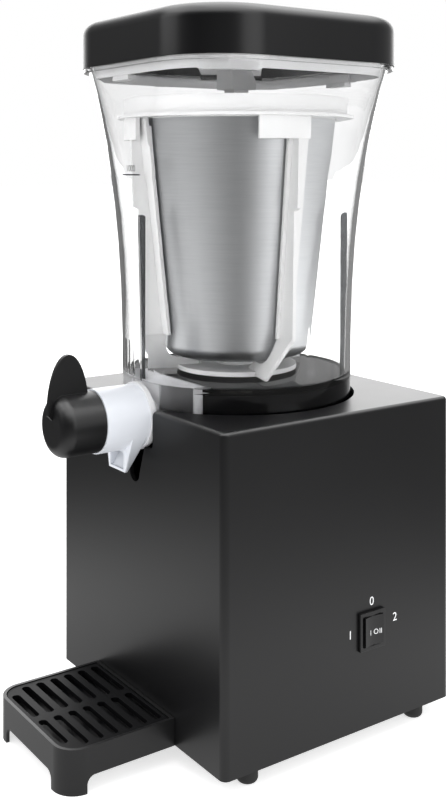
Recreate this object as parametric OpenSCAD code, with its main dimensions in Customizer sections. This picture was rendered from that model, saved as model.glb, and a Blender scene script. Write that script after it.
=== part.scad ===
// Counter-top slush machine: a black base with a geared motor carries a clear bowl.
// A frozen aluminium core stands still in the bowl while a scraper cage turns round it.
// Heights are counted from the bottom edge of the base, depths from the middle of the base.

/* [Base] */
// Width of the base housing
base_w = 200; // [194:1:216]
// Depth of the base housing
base_d = 184; // [180:1:200]
// Height of the base housing
base_h = 200; // [190:1:220]
// Wall of the base housing
base_wall = 3; // [2:0.5:4]
// Radius of the upright edges
base_corner_r = 4.5; // [3.5:0.5:8]
// Rounding along the top edge
base_edge_r = 2.5; // [1:0.5:3]
// Thickness of the bottom plate
plate_t = 3; // [2:0.5:4]
// Height of the rubber feet
foot_h = 10; // [8:1:14]
// Radius of the rubber feet
foot_r = 6.5; // [5:0.5:8]
// From the side face to the middle of a foot
foot_in_x = 10; // [9:1:16]
// From the front or rear face to the middle of a foot
foot_in_y = 24; // [20:1:34]

/* [Bowl seat] */
// Strip of top face between the bowl's foot and the front face
front_strip = 3.3; // [3:0.1:12]
// Gap round the bowl's foot in the top face
well_gap = 2.8; // [2:0.1:4]
// Depth of the channel that the bowl's skirt stands in
well_depth = 9; // [7:0.5:12]
// Wall of the seat moulding
seat_t = 2.5; // [2:0.5:3]
// Gap between the skirt's outside and the raised plinth
plinth_gap = 5.7; // [4.5:0.1:8]
// Radius of the hole for the drive dog
plinth_hole_r = 19; // [17:1:24]

/* [Front notch] */
// Half width of the notch that the tap passes through
notch_half = 22.2; // [22:0.2:26]
// Radius of the notch's lower corners
notch_r = 4; // [2:0.5:6]
// Radius of the notch's upper corners
notch_lip_r = 5; // [3:0.5:7]
// Half width of the drain slot at its top
slot_half = 12.5; // [10:0.5:15]
// Half width of the drain slot at its bottom
slot_end_r = 6; // [4:0.5:8]
// Length of the drain slot below the notch
slot_l = 18.5; // [14:0.5:24]

/* [Bowl] */
// Outer radius of the bowl at its foot
bowl_r = 77.7; // [77:0.1:78.5]
// How far the square mouth stands out beyond the foot
mouth_flare = 9.8; // [8:0.1:12]
// Corner radius of the square mouth, outside
mouth_r = 50; // [44:1:56]
// Wall of the bowl
bowl_wall = 3; // [2.5:0.25:3.5]
// Height of the bowl's floor above the base, under side
floor_rise = 11; // [9:0.5:16]
// Height of the rim above the base
rim_rise = 220; // [210:1:235]
// How far the rim stands out
rim_out = 3.5; // [2:0.5:5]
// Thickness of the rim
rim_t = 2.5; // [2:0.25:4]
// Reach of the three inner fins from the wall
fin_reach = 3.2; // [2.5:0.1:4]
// Thickness of the inner fins
fin_t = 2; // [1.5:0.25:3]
// Height of the fins above the bowl's floor
fin_h = 108; // [90:1:112]

/* [Outlet and tap] */
// Tap axis below the top face of the base
tap_drop = 7.5; // [6:0.5:9]
// Bore of the bowl's outlet socket, radius
socket_r = 16; // [15:0.5:16.5]
// Wall of the outlet socket
socket_wall = 3; // [2:0.5:3.5]
// Radius of the collar at the socket's mouth
collar_r = 21.6; // [20.5:0.1:21.8]
// Half width of the sump below the bowl's floor
sump_half = 42; // [36:1:44]
// Radius of the tap barrel
barrel_r = 20.3; // [19.5:0.1:21]
// Length of the tap barrel in front of the base
barrel_l = 30.5; // [28:0.5:36]
// Radius of the turning plug
plug_r = 17; // [16:0.25:17.5]
// Wall of the spout
spout_wall = 1.6; // [1.2:0.2:2]
// Half width of the spout's mouth
spout_half = 10; // [8:0.5:12]
// Lip of the spout below the tap axis
spout_drop = 32.7; // [30:0.1:36]
// Mouth of the spout in front of the base
spout_reach = 13.2; // [12:0.1:16]
// Height of the mouth at its sides
spout_side_h = 6.6; // [5:0.1:8]
// Rise of the mouth's arched top
spout_arch = 3; // [2:0.1:4]
// Radius of the knob
knob_r = 19.4; // [18:0.1:20]
// Length of the knob
knob_l = 28.5; // [24:0.5:32]
// Rounding of the knob's front edge
knob_round = 8; // [4:0.5:9]
// Height of the knob's fin above the tap axis
knob_fin_h = 44; // [36:1:48]
// Half width of the knob's fin
knob_fin_half = 14; // [10:0.5:15]

/* [Core and scraper] */
// How much the core narrows towards its bottom
core_taper = 16.5; // [12:0.5:20]
// Height of the core can
core_h = 159; // [150:1:162]
// Wall of the core can
core_wall = 2; // [1.5:0.25:3]
// Thickness of the scraper's top ring
ring_t = 3.7; // [3:0.1:4.5]
// Gap between the core's top and the scraper's top ring
ring_gap = 5; // [4:0.25:6]
// How far the flange under the top ring stands out
flange_out = 4.3; // [3:0.1:4.6]
// Turn from the first scraper arm to the second (degrees)
second_arm = -97; // [-110:1:-85]
// Turn from the first scraper arm to the third (degrees)
third_arm = 111; // [105:1:120]
// Angle of the first arm from the right-hand side
arm_phase = -1; // [-15:1:15]
// Angle that one arm strip covers
arm_sweep = 13; // [9:1:16]
// Thickness of the arm strip and its wing
arm_t = 2.5; // [2:0.25:3]
// Radius of the hub disc
hub_r = 41; // [36:1:45]

/* [Lid] */
// How far the lid stands out beyond the mouth
lid_out = 2.5; // [1.5:0.25:3.5]
// Corner radius of the lid
lid_r = 48; // [42:1:54]
// Height of the lid
lid_h = 31.5; // [26:0.5:36]
// Wall of the lid
lid_wall = 2.5; // [2:0.25:3]
// Rounding of the lid's top edge
lid_round = 9; // [5:0.5:12]
// Width of the square post under the lid
post_w = 19.5; // [16:0.5:22]
// Length of the post below the lid's edge
post_l = 14; // [10:0.5:16]
// Width of the square peg that holds the core still
peg_w = 12; // [10:0.5:14]

/* [Drip tray] */
// Half width of the tray
tray_half = 48.4; // [44:0.2:54]
// Reach of the tray in front of the base
tray_l = 74.7; // [66:0.1:84]
// Height of the tray's rim above the base's bottom edge
tray_h = 16.8; // [15:0.2:22]
// Wall of the tray
tray_wall = 2.2; // [1.8:0.2:3]
// Radius of the tray's front corners
tray_r = 15; // [10:0.5:20]
// Width of a front leg along the front
leg_w = 17; // [12:0.5:22]
// Width of a front leg along the side
leg_d = 15; // [10:0.5:20]
// Rounding where a leg meets the wall
leg_r = 5; // [3:0.5:7]
// Thickness of the grille
grille_t = 3; // [2.5:0.25:4]
// Rows of slots in the grille
slot_rows = 7; // [5:1:7]
// Width of one grille slot
slot_w = 5.2; // [4:0.2:6]
// Pitch of the grille slots
slot_pitch = 10; // [8:0.1:10.2]

/* [Switch and inlet] */
// Width of the switch bezel
bezel_w = 21; // [20:0.5:24]
// Height of the switch bezel
bezel_h = 24; // [22:0.5:28]
// How far the bezel stands out
bezel_t = 2.2; // [1.5:0.1:3]
// Switch centre behind the middle of the base
switch_y = 21.5; // [10:0.5:40]
// Switch centre above the bottom edge
switch_z = 61.3; // [40:0.1:90]
// From the side face to the inlet's centre
inlet_in = 38; // [25:1:60]
// Inlet centre above the bottom edge
inlet_z = 32; // [26:1:60]

/* [Gear train] */
// Module of the motor pinion and the first wheel
first_module = 1; // [0.9:0.05:1.05]
// Teeth of the motor pinion
pinion_teeth = 12; // [12:1:14]
// Teeth of the first wheel
wheel_teeth = 60; // [54:1:62]
// Module of the second pair
second_module = 1.25; // [1.1:0.05:1.3]
// Teeth of the second pinion
second_pinion_teeth = 14; // [14:1:16]
// Teeth of the output gear
output_teeth = 56; // [50:1:58]
// Steepest direction from the first wheel to the motor
motor_turn_max = 60; // [40:1:75]
// Radius of the output shaft and of the spindle
shaft_r = 5; // [4:0.25:5.5]
// Radius of the motor can
motor_r = 18; // [16:0.5:19]
// Length of the motor can
motor_l = 57; // [45:1:70]

/* [Fits] */
// Radial clearance of a running shaft
run_gap = 0.05; // [0.02:0.01:0.1]
// Gap between faces of pieces that come apart
face_gap = 0.3; // [0.25:0.05:0.5]
// Extra depth of a cut past the face that it opens
cut = 1; // [0.5:0.5:2]

/* [Hidden] */
$fn = 96;
hull_fn = 32;
ring_steps = 16;
weld = 0.3;

housing_black = "#1b1c1e";
seat_black = "#121213";
rubber_black = "#202020";
knob_black = "#1a1a1b";
clear_plastic = [0.9, 0.95, 0.97, 0.35];
tap_white = "#f1f3f8";
milky_white = "#eceeec";
core_metal = "#a9adb0";
steel = "#b9bcc0";
brass = "#c9a24a";
gear_white = "#e6e2d6";
motor_grey = "#8d9094";

// Places that several pieces share
front_y = -base_d / 2;
axis_back = bowl_r + front_strip;
axis_y = front_y + axis_back;
well_r = bowl_r + well_gap;
plinth_r = bowl_r - plinth_gap;
mouth_half = bowl_r + mouth_flare;
lid_half = mouth_half + lid_out;
inlet_x = -base_w / 2 + inlet_in;
inner_front_y = front_y + base_wall;
inlet_flange_t = 1.5;
frame_y = -(front_y - face_gap - tray_l + base_d / 2 + inlet_flange_t) / 2;

// Heights of the seat and of the gearbox under it
seat_z = base_h - well_depth;
seat_under_z = seat_z - seat_t;
plinth_drop = 0.4;
plinth_z = base_h + floor_rise - plinth_drop;
trough_room = 0.8;
trough_half = notch_half + trough_room;
tap_z = base_h - tap_drop;
notch_drop = 18;
notch_z = tap_z - notch_drop;
trough_z = notch_z - slot_l - slot_end_r - 1;
seat_gap = 2;

// Bowl heights
skirt_z = seat_z + face_gap;
floor_under_z = base_h + floor_rise;
floor_z = floor_under_z + bowl_wall;
rim_z = base_h + rim_rise;
morph_z = base_h + 5;
skirt_wall = 2.5;
boss_r = shaft_r + 6;
boss_rise = 5;
boss_z = floor_z + boss_rise;
bush_r = shaft_r + 2.5;
seal_t = 2;
floor_hole_r = 20;

// Core and scraper heights
hub_lift = 2;
hub_z = floor_z + hub_lift;
hub_t = 3;
hub_boss_rise = 6.7;
hub_boss_z = boss_z + hub_boss_rise;
core_z = hub_boss_z + face_gap;
core_round = 10;
ring_out_r = bowl_r - 2;
ring_in_r = ring_out_r - ring_t;
flange_r = ring_out_r + flange_out;
core_top_r = ring_in_r - ring_gap;
core_foot_r = core_top_r - core_taper;
core_top_z = core_z + core_h;
core_gap = 1;
flange_z = core_top_z + 0.5;
flange_t = 2;
ring_z = flange_z + flange_t;
ring_h = 11.5;
drive_square = 7;

// Lid heights
lid_gap = 0.5;
liner_gap = 0.2;
lid_z = rim_z + lid_gap;
liner_z = rim_z + liner_gap;
liner_t = 2.3;
post_z = liner_z - post_l;
peg_l = 14;
peg_z = post_z - peg_l;
cap_socket_z = peg_z - 2;

// Gear train
output_r = second_module * output_teeth / 2;
second_pinion_r = second_module * second_pinion_teeth / 2;
wheel_r = first_module * wheel_teeth / 2;
pinion_r = first_module * pinion_teeth / 2;
idler_y = axis_y + output_r + second_pinion_r;
motor_reach = wheel_r + pinion_r;
motor_clear = 4;
motor_room_y = base_d / 2 - base_wall - motor_r - motor_clear - idler_y;
motor_turn = asin(min(sin(motor_turn_max), motor_room_y / motor_reach));
motor_x = motor_reach * cos(motor_turn);
motor_y = idler_y + motor_reach * sin(motor_turn);
pressure_angle = 20;
backlash = 0.12;
tip_share = 0.92;
gear_room = 1.5;
screw_room = 4.5;
case_wall = 2.5;
case_floor_t = 3;
cover_t = 4;
case_h = 27;
cover_z = seat_under_z - cover_t;
case_z = cover_z - case_h;
case_floor_z = case_z - case_floor_t;
first_z = case_z + 2.5;
first_w = 7;
second_z = first_z + first_w + 3;
second_w = 11;
bush_wall = 3;
case_boss_r = shaft_r + bush_wall + 3;
case_boss_drop = 5;
cover_boss_rise = 2;
axle_r = 3;
motor_shaft_r = 1.6;
motor_boss_r = 6.5;
motor_z = case_floor_z - motor_l;
lug_r = 5.5;
gearbox_screw_r = 1.6;
gearbox_screw_bite = 11;
case_front_r = output_r + second_module + gear_room + case_wall;
lug_overlap = 0.5;
lug_reach = case_front_r + lug_r - lug_overlap;
lug_side = wheel_r + first_module + gear_room + case_wall + 3;
lug_places = [for (side = [-1, 1], p = [lug_reach * [0.75, -0.66], [lug_side, lug_side - 3]])
    [side * p[0], axis_y + p[1]]];

// Sump of the bowl, which hangs down in front of the gearbox
sump_room = 9.75;
sump_back = case_front_r + sump_room;
sump_y = axis_y - sump_back;
socket_l = axis_back - sump_back;

// Drive coupling between base and bowl
dog_flat = 14;
dog_gap = 0.4;
dog_z = seat_z + 0.5;
dog_h = 11.5;
spindle_dog_r = 13;
spindle_dog_z = dog_z + 1.5;
spindle_dog_top = floor_under_z - 0.7;
dog_socket_z = dog_z + dog_h + 0.6;

// Fasteners
plate_screw_r = 1.5;
plate_boss_r = 5;
plate_boss_h = 16;
plate_screw_places = [for (sx = [-1, 1], sy = [-1, 1])
    [sx * (base_w / 2 - base_wall - 11), sy * (base_d / 2 - base_wall - 4)]];
seat_ear_reach = well_r + 11.5;
seat_ear_r = 6;
seat_screw_r = 1.5;

// Moves every piece into the frame of the whole machine, which stands on the floor
module in_frame() {
    translate([0, frame_y, foot_h]) children();
}

// Places a piece on the turning axis of the bowl
module on_axis(z = 0) {
    translate([0, axis_y, z]) children();
}

// Places a piece on the tap's axis, which runs forward from the front face
module on_tap(forward = 0) {
    translate([0, front_y - forward, tap_z]) rotate([90, 0, 0]) children();
}

module centred_box(size) {
    translate([-size[0] / 2, -size[1] / 2, 0]) cube(size);
}

module sleeve(outer, inner, h) {
    difference() {
        cylinder(r = outer, h = h);
        translate([0, 0, -cut]) cylinder(r = inner, h = h + 2 * cut);
    }
}

// Screw with a round head below and its shank pointing up
module screw(shank_r, length, head_r, head_h) {
    cylinder(r = shank_r, h = length);
    translate([0, 0, -head_h]) cylinder(r = head_r, h = head_h);
}

// Ring of points round a square with rounded corners
function round_square(half, r, z) = [for (q = [0:3], i = [0:ring_steps])
    let (a = 90 * q + 90 * i / ring_steps,
        sx = (q == 0 || q == 3) ? 1 : -1,
        sy = (q < 2) ? 1 : -1)
    [sx * (half - r) + r * cos(a), sy * (half - r) + r * sin(a), z]];

// Round ring with the same number of points, a short flat keeping the quarters apart
ring_flat = 0.4;
function round_ring(r, z) = round_square(r, r - ring_flat, z);

// Closed skin over a stack of rings; a looped stack has no end caps
module skin(rings, looped = false) {
    n = len(rings[0]);
    m = len(rings);
    bands = looped ? m : m - 1;
    sides = [for (j = [0:bands - 1], i = [0:n - 1])
        let (a = j * n + i,
            b = j * n + (i + 1) % n,
            c = (j + 1) % m * n + (i + 1) % n,
            d = (j + 1) % m * n + i)
        each [[a, d, c], [a, c, b]]];
    caps = looped ? [] : [[for (i = [0:n - 1]) i], [for (i = [n - 1:-1:0]) (m - 1) * n + i]];
    polyhedron([for (ring = rings) each ring], concat(sides, caps), convexity = 8);
}

// Base housing
module corner_post(r, edge, h) {
    $fn = hull_fn;
    rotate_extrude() {
        square([r, h - edge]);
        square([r - edge, h]);
        translate([r - edge, h - edge]) intersection() {
            circle(edge);
            square(edge);
        }
    }
}

module rounded_box(size, r, edge) {
    hull() for (sx = [-1, 1], sy = [-1, 1])
        translate([sx * (size[0] / 2 - r), sy * (size[1] / 2 - r), 0]) corner_post(r, edge, size[2]);
}

// Outline of the notch in the front face, in width and height
module notch_outline() {
    straight = base_h - notch_z - notch_r;
    translate([-notch_half, notch_z + notch_r]) square([2 * notch_half, straight + cut]);
    translate([-notch_half + notch_r, notch_z]) square([2 * (notch_half - notch_r), 2 * notch_r]);
    for (side = [-1, 1]) {
        translate([side * (notch_half - notch_r), notch_z + notch_r]) circle(notch_r);
        difference() {
            translate([side * (notch_half + notch_lip_r / 2) - notch_lip_r / 2 - cut, base_h - notch_lip_r])
                square([notch_lip_r + 2 * cut, notch_lip_r + cut]);
            translate([side * (notch_half + notch_lip_r), base_h - notch_lip_r]) circle(notch_lip_r);
            translate([side * (notch_half + notch_lip_r + cut) - cut, base_h - notch_lip_r - cut])
                square([2 * cut, notch_lip_r + 3 * cut]);
        }
    }
    polygon([[-slot_half, notch_z + cut], [slot_half, notch_z + cut],
        [slot_end_r, notch_z - slot_l], [-slot_end_r, notch_z - slot_l]]);
    translate([0, notch_z - slot_l]) circle(slot_end_r);
}

module seat_ear_places() {
    for (a = [45:90:315]) on_axis() rotate([0, 0, a]) translate([seat_ear_reach, 0, 0]) children();
}

module tray_tongues(grow = 0) {
    tongue = [14, 8, 2.5];
    tongue_x = tray_half * 0.55;
    for (side = [-1, 1])
        translate([side * tongue_x - tongue[0] / 2 - grow, front_y + base_wall + 2 - tongue[1] - face_gap, 4 - grow])
            cube([tongue[0] + 2 * grow, tongue[1] + face_gap, tongue[2] + 2 * grow]);
}

module base_housing() in_frame() color(housing_black) difference() {
    union() {
        difference() {
            rounded_box([base_w, base_d, base_h], base_corner_r, base_edge_r);
            translate([0, 0, -cut])
                centred_box([base_w - 2 * base_wall, base_d - 2 * base_wall, base_h - base_wall + cut]);
        }
        for (p = plate_screw_places)
            translate([p[0], p[1], plate_t]) cylinder(r = plate_boss_r, h = plate_boss_h);
        seat_ear_places() translate([0, 0, seat_z])
            cylinder(r = seat_ear_r - 1, h = base_h - seat_z - base_wall / 2);
    }
    on_axis(base_h - base_wall - cut) cylinder(r = well_r, h = base_wall + 2 * cut);
    translate([0, inner_front_y + cut, 0]) rotate([90, 0, 0])
        linear_extrude(base_wall + 2 * cut) notch_outline();
    translate([base_w / 2 - base_wall - cut, switch_y - switch_body_w / 2 - 0.2,
        switch_z - switch_body_h / 2 - 0.2])
        cube([base_wall + 2 * cut, switch_body_w + 0.4, switch_body_h + 0.4]);
    translate([inlet_x, base_d / 2 + cut, inlet_z]) rotate([90, 0, 0])
        cylinder(r = inlet_r, h = base_wall + 2 * cut);
    tray_tongues(face_gap);
    for (p = plate_screw_places)
        translate([p[0], p[1], 0]) cylinder(r = plate_screw_r, h = plate_t + 10);
    seat_ear_places() translate([0, 0, seat_z - cut]) cylinder(r = seat_screw_r, h = 6.5 + cut);
}

// Bottom plate, its screws and the feet
foot_places = [for (sx = [-1, 1], sy = [-1, 1])
    [sx * (base_w / 2 - foot_in_x), sy * (base_d / 2 - foot_in_y)]];
foot_peg_r = 2.5;

module base_plate() in_frame() color(seat_black) difference() {
    centred_box([base_w - 2 * (base_wall + face_gap), base_d - 2 * (base_wall + face_gap), plate_t]);
    for (p = plate_screw_places) translate([p[0], p[1], -cut]) cylinder(r = plate_screw_r, h = plate_t + 2 * cut);
    for (p = foot_places) translate([p[0], p[1], -cut]) cylinder(r = foot_peg_r, h = plate_t + 2 * cut);
}

// Foot: a moulded dome with a flat to stand on and a peg into the plate
module foot() {
    foot_flat_r = foot_r - 3;
    dome_r = 3;
    rotate_extrude() {
        translate([0, -foot_h]) square([foot_flat_r, foot_h]);
        translate([0, -foot_h + dome_r]) square([foot_r, foot_h - dome_r]);
        translate([foot_flat_r, -foot_h + dome_r]) circle(dome_r);
        translate([0, -cut]) square([foot_peg_r, plate_t + cut]);
    }
}

module feet() in_frame() color(rubber_black) for (p = foot_places) translate([p[0], p[1], 0]) foot();

module plate_screws() in_frame() color(steel)
    for (p = plate_screw_places) translate([p[0], p[1], 0]) screw(plate_screw_r, plate_t + 9, 3, 2);

// Bowl seat: channel for the skirt, raised plinth, sump recess and drain trough
module seat_profile() {
    wall_r = well_r + 0.5;
    translate([plinth_r - seat_t, seat_under_z]) square([wall_r + seat_t - plinth_r + seat_t, seat_t]);
    translate([wall_r, seat_under_z]) square([seat_t, base_h - base_wall - seat_under_z]);
    translate([plinth_r - seat_t, seat_under_z]) square([seat_t, plinth_z - seat_under_z]);
    translate([plinth_hole_r, plinth_z - seat_t]) square([plinth_r - plinth_hole_r, seat_t]);
    translate([plinth_hole_r, plinth_z - 9]) square([seat_t, 9]);
}

module bowl_seat() in_frame() color(seat_black) difference() {
    union() {
        on_axis() rotate_extrude() seat_profile();
        seat_ear_places() translate([0, 0, seat_under_z]) {
            cylinder(r = seat_ear_r, h = seat_t);
            translate([-seat_ear_reach + well_r, -seat_ear_r, 0])
                cube([seat_ear_reach - well_r, 2 * seat_ear_r, seat_t]);
        }
        intersection() {
            on_axis(seat_under_z) cylinder(r = plinth_r, h = plinth_z - seat_under_z);
            translate([-recess_half - seat_t, axis_y - plinth_r - cut, seat_under_z])
                cube([2 * (recess_half + seat_t), plinth_r + cut + recess_y + seat_t - axis_y, base_h]);
        }
        translate([-trough_half - seat_t, inner_front_y + face_gap, trough_z - seat_t])
            cube([2 * (trough_half + seat_t), recess_y + seat_t - inner_front_y - face_gap, seat_z - trough_z + seat_t]);
        for (p = lug_places)
            translate([p[0], p[1], seat_under_z]) cylinder(r = lug_r - 0.5, h = plinth_z - seat_t / 2 - seat_under_z);
    }
    translate([-recess_half, front_y, seat_z]) cube([2 * recess_half, recess_y - front_y, base_h]);
    translate([-trough_half, front_y, trough_z]) cube([2 * trough_half, recess_y - front_y, base_h]);
    translate([-base_w / 2, front_y - base_wall, 0]) cube([base_w, 2 * base_wall + face_gap, 2 * base_h]);
    for (p = lug_places)
        translate([p[0], p[1], seat_under_z - cut]) cylinder(r = gearbox_screw_r, h = gearbox_screw_bite + 2 * cut);
    seat_ear_places() translate([0, 0, seat_under_z - cut]) cylinder(r = seat_screw_r, h = seat_t + 2 * cut);
}
recess_half = sump_half + seat_gap;
recess_y = sump_y + seat_gap;

module seat_screws() in_frame() color(steel)
    seat_ear_places() translate([0, 0, seat_under_z]) screw(seat_screw_r, seat_t + 5.5, 3, 2);

// Gearbox
module gear_outline(margin) {
    translate([0, axis_y]) circle(output_r + second_module + margin);
    translate([0, idler_y]) circle(wheel_r + first_module + margin);
    translate([motor_x, motor_y]) circle(pinion_r + first_module + screw_room + margin);
}

module lug_outline() {
    for (p = lug_places) translate(p) circle(lug_r);
}

module lug_holes(z, h) {
    for (p = lug_places) translate([p[0], p[1], z - cut]) cylinder(r = gearbox_screw_r + 0.2, h = h + 2 * cut);
}

module motor_screw_places() {
    for (turn = [90, -90]) translate([motor_x, motor_y, 0]) rotate([0, 0, motor_turn + turn])
        translate([motor_boss_r + 3, 0, 0]) children();
}

module gearbox_case() in_frame() color(motor_grey) difference() {
    union() {
        translate([0, 0, case_floor_z]) linear_extrude(case_floor_t + case_h) {
            gear_outline(gear_room + case_wall);
            lug_outline();
        }
        on_axis(case_floor_z - case_boss_drop) cylinder(r = case_boss_r, h = case_boss_drop + cut);
    }
    difference() {
        translate([0, 0, case_z]) linear_extrude(case_h + cut) gear_outline(gear_room);
        translate([0, 0, case_z - cut]) linear_extrude(case_h + 3 * cut) lug_outline();
    }
    lug_holes(case_floor_z, case_floor_t + case_h);
    on_axis(case_floor_z - case_boss_drop - cut)
        cylinder(r = shaft_r + bush_wall, h = case_boss_drop + case_floor_t + 2 * cut);
    translate([0, idler_y, case_z - 2]) cylinder(r = axle_r, h = 2 + cut);
    translate([motor_x, motor_y, case_floor_z - cut]) cylinder(r = motor_boss_r, h = case_floor_t + 2 * cut);
    motor_screw_places() translate([0, 0, case_floor_z - cut]) cylinder(r = 1.6, h = case_floor_t + 2 * cut);
}

module gearbox_cover() in_frame() color(motor_grey) difference() {
    union() {
        translate([0, 0, cover_z]) linear_extrude(cover_t) {
            gear_outline(gear_room + case_wall);
            lug_outline();
        }
        on_axis(cover_z) cylinder(r = case_boss_r, h = cover_t + cover_boss_rise);
    }
    lug_holes(cover_z, cover_t);
    on_axis(cover_z - cut) cylinder(r = shaft_r + bush_wall, h = cover_t + cover_boss_rise + 2 * cut);
    translate([0, idler_y, cover_z - cut]) cylinder(r = axle_r, h = 2 + cut);
}

module gearbox_screws() in_frame() color(steel) for (p = lug_places)
    translate([p[0], p[1], case_floor_z]) screw(gearbox_screw_r, seat_under_z - case_floor_z + gearbox_screw_bite, 2 * gearbox_screw_r, 2.2);

module output_bushes() in_frame() color(brass) {
    on_axis(case_floor_z - case_boss_drop)
        sleeve(shaft_r + bush_wall, shaft_r + run_gap, case_boss_drop + case_floor_t);
    on_axis(cover_z) sleeve(shaft_r + bush_wall, shaft_r + run_gap, cover_t + cover_boss_rise);
}

module idler_axle() in_frame() color(steel)
    translate([0, idler_y, case_z - 2]) cylinder(r = axle_r, h = case_h + 4);

// Involute spur gear, with one tooth centred on the first axis
function roll_angle(base_r, r) = r <= base_r ? 0 : let (a = acos(base_r / r)) tan(a) * 180 / PI - a;

function tooth_half(teeth, pitch_r, base_r, r) =
    90 / teeth - backlash / pitch_r * 180 / PI / 2 + roll_angle(base_r, pitch_r) - roll_angle(base_r, r);

module spur_outline(teeth, tooth_module) {
    pitch_r = tooth_module * teeth / 2;
    base_r = pitch_r * cos(pressure_angle);
    tip_r = pitch_r + tip_share * tooth_module;
    root_r = pitch_r - 1.25 * tooth_module;
    start_r = max(base_r, root_r);
    radii = [root_r, start_r, (start_r + 2 * pitch_r) / 3, (pitch_r + tip_r) / 2, tip_r];
    halves = [for (r = radii) tooth_half(teeth, pitch_r, base_r, r)];
    last = len(radii) - 1;
    polygon([for (k = [0:teeth - 1], side = [-1, 1], i = [0:last])
        let (j = side < 0 ? i : last - i, a = 360 * k / teeth + side * halves[j])
        radii[j] * [cos(a), sin(a)]]);
}

module spur_gear(teeth, tooth_module, width, turn) {
    rotate([0, 0, turn]) linear_extrude(width) spur_outline(teeth, tooth_module);
}

module output_gear() in_frame() color(gear_white) on_axis() difference() {
    union() {
        translate([0, 0, second_z]) spur_gear(output_teeth, second_module, second_w, 90);
        translate([0, 0, case_z + 0.5]) cylinder(r = shaft_r + 4, h = case_h - 1);
    }
    translate([0, 0, case_z]) cylinder(r = shaft_r, h = case_h);
}

module output_shaft() in_frame() color(steel)
    on_axis(case_floor_z - case_boss_drop - 1) cylinder(r = shaft_r, h = dog_z + dog_h - case_floor_z + case_boss_drop + 1);

module hexagon(flat, h) {
    cylinder(r = flat / 2 / cos(30), h = h, $fn = 6);
}

module drive_dog() in_frame() color(seat_black) on_axis(dog_z) difference() {
    hexagon(dog_flat, dog_h);
    translate([0, 0, -cut]) cylinder(r = shaft_r, h = dog_h + 2 * cut);
}

module idler_gear() in_frame() color(gear_white) translate([0, idler_y, 0]) difference() {
    union() {
        translate([0, 0, first_z]) spur_gear(wheel_teeth, first_module, first_w, motor_turn);
        translate([0, 0, first_z + first_w - cut])
            spur_gear(second_pinion_teeth, second_module, second_w + 4 + cut, 270 + 180 / second_pinion_teeth);
        translate([0, 0, case_z + 0.5]) cylinder(r = axle_r + 2.5, h = case_h - 1);
    }
    translate([0, 0, case_z]) cylinder(r = axle_r + run_gap, h = case_h);
}

// Motor
can_wall = 1.2;
can_front_t = 2;
end_cap_t = 3;
magnet_l = 40;
magnet_z = motor_z + (motor_l - magnet_l) / 2;
magnet_t = 2.5;
armature_r = motor_r - can_wall - magnet_t - 0.8;

module on_motor(z) {
    translate([motor_x, motor_y, z]) children();
}

module motor_can() in_frame() color(motor_grey) difference() {
    union() {
        on_motor(motor_z) cylinder(r = motor_r, h = motor_l);
        on_motor(motor_z) cylinder(r = motor_boss_r, h = motor_l + case_floor_t - 1);
    }
    on_motor(motor_z - cut) cylinder(r = motor_r - can_wall, h = motor_l - can_front_t + cut);
    on_motor(motor_z) cylinder(r = motor_shaft_r + run_gap, h = 2 * motor_l);
    motor_screw_places() translate([0, 0, case_floor_z - can_front_t - cut]) cylinder(r = 1.5, h = can_front_t + 2 * cut);
}

module motor_magnets() in_frame() color("#4a4b4e") on_motor(magnet_z) for (a = [25, 205]) rotate([0, 0, a])
    rotate_extrude(angle = 130) translate([motor_r - can_wall - magnet_t, 0]) square([magnet_t, magnet_l]);

module motor_end_cap() in_frame() color(seat_black) difference() {
    union() {
        on_motor(motor_z - end_cap_t) cylinder(r = motor_r, h = end_cap_t);
        on_motor(motor_z - end_cap_t) cylinder(r = motor_r - can_wall, h = end_cap_t + 2);
        for (side = [-1, 1]) on_motor(motor_z - end_cap_t - 6) translate([side * 8, 0, 0])
            centred_box([0.8, 5, 6 + cut]);
    }
    on_motor(motor_z - end_cap_t - cut) cylinder(r = motor_shaft_r + run_gap, h = end_cap_t + 2 + 2 * cut);
}

module motor_screws() in_frame() color(steel) motor_screw_places() translate([0, 0, case_z]) mirror([0, 0, 1])
    screw(1.5, case_floor_t + can_front_t, 2.6, 1.8);

module motor_shaft() in_frame() color(steel) on_motor(motor_z - end_cap_t)
    cylinder(r = motor_shaft_r, h = first_z + first_w + 1 - motor_z + end_cap_t);

module motor_armature() in_frame() color("#6e3f22") on_motor(magnet_z) difference() {
    cylinder(r = armature_r, h = magnet_l);
    translate([0, 0, -cut]) cylinder(r = motor_shaft_r, h = magnet_l + 2 * cut);
}

module motor_pinion() in_frame() color(brass) on_motor(first_z - 0.5) difference() {
    spur_gear(pinion_teeth, first_module, first_w + 1, motor_turn + 180 + 180 / pinion_teeth);
    translate([0, 0, -cut]) cylinder(r = motor_shaft_r, h = first_w + 2 * cut + 1);
}

// Rocker switch on the right-hand face
switch_body_w = bezel_w - 2.4;
switch_body_h = bezel_h - 2.4;
switch_body_l = 20;
pocket_w = 16.6;
pocket_h = 18.8;
pocket_l = 9.5;
rocker_back = 3;
rocker_pin_r = 1.2;
rocker_h = pocket_h - 2 * face_gap;

// Places a switch piece: outward is up, the rocker's pivot runs along the second axis
module on_switch(out = 0) {
    translate([base_w / 2 + out, switch_y, switch_z]) rotate([90, 0, 90]) children();
}

module switch_frame() in_frame() color(knob_black) difference() {
    union() {
        on_switch() centred_box([bezel_w, bezel_h, bezel_t]);
        on_switch(-switch_body_l) centred_box([switch_body_w, switch_body_h, switch_body_l + cut]);
    }
    on_switch(bezel_t - pocket_l) centred_box([pocket_w, pocket_h, pocket_l + cut]);
    on_switch(bezel_t - rocker_back) rotate([90, 0, 0]) translate([0, 0, -pocket_h / 2 - 1])
        cylinder(r = rocker_pin_r + run_gap, h = pocket_h + 2);
}

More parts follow.
